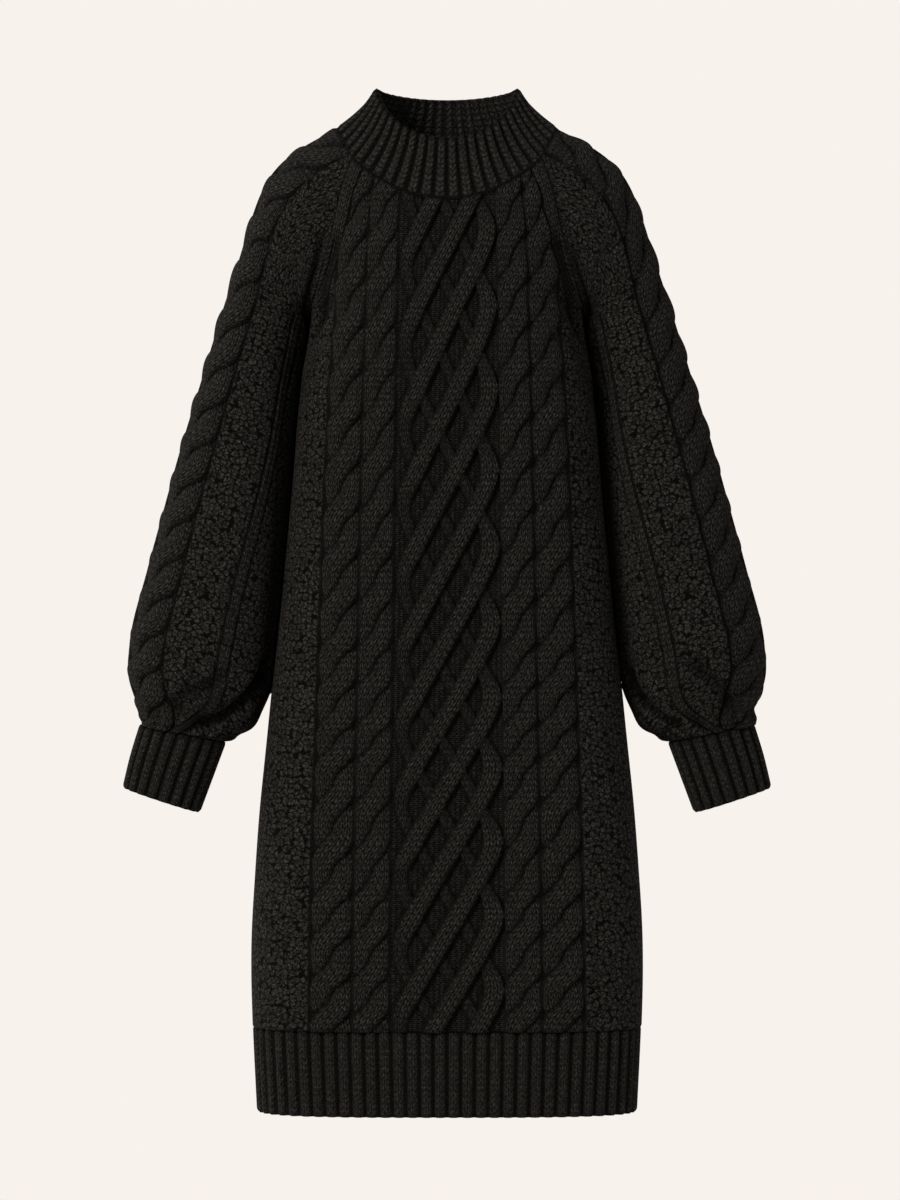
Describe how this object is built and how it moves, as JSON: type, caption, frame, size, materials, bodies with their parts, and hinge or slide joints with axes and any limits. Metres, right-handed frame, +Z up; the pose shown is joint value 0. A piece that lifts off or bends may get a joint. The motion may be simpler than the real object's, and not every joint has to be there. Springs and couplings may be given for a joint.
{
  "type": "sweater dress, filled out with no wearer",
  "caption": "Knee-length cable-knit sweater dress with raglan bishop sleeves, a standing ribbed collar, and ribbed cuffs and hem, hollow and filled out as if worn.",
  "frame": {"origin": "between the two ends of the neckline, where the wearer's shoulders hold the dress", "axes": "+Z up along the dress, front facing -Y, the wearer's left at +X"},
  "size_m": [0.6456, 0.2042, 1.0168],
  "materials": {
    "front_cable_knit": "matt melange cable knit, charcoal black",
    "back_cable_knit": "matt melange cable knit, charcoal black",
    "left_sleeve_knit": "matt melange moss knit with one cable, charcoal black",
    "right_sleeve_knit": "matt melange moss knit with one cable, charcoal black",
    "collar_rib": "matt melange rib knit, charcoal black",
    "left_cuff_rib": "matt melange rib knit, charcoal black",
    "right_cuff_rib": "matt melange rib knit, charcoal black",
    "front_hem_rib_knit": "matt melange rib knit, charcoal black",
    "back_hem_rib_knit": "matt melange rib knit, charcoal black"
  },
  "bodies": {
    "root": {"front_panel": "front_cable_knit", "back_panel": "back_cable_knit", "left_sleeve": "left_sleeve_knit", "right_sleeve": "right_sleeve_knit", "collar": "collar_rib", "left_cuff": "left_cuff_rib", "right_cuff": "right_cuff_rib", "front_hem_rib": "front_hem_rib_knit", "back_hem_rib": "back_hem_rib_knit"}
  },
  "joints": []
}
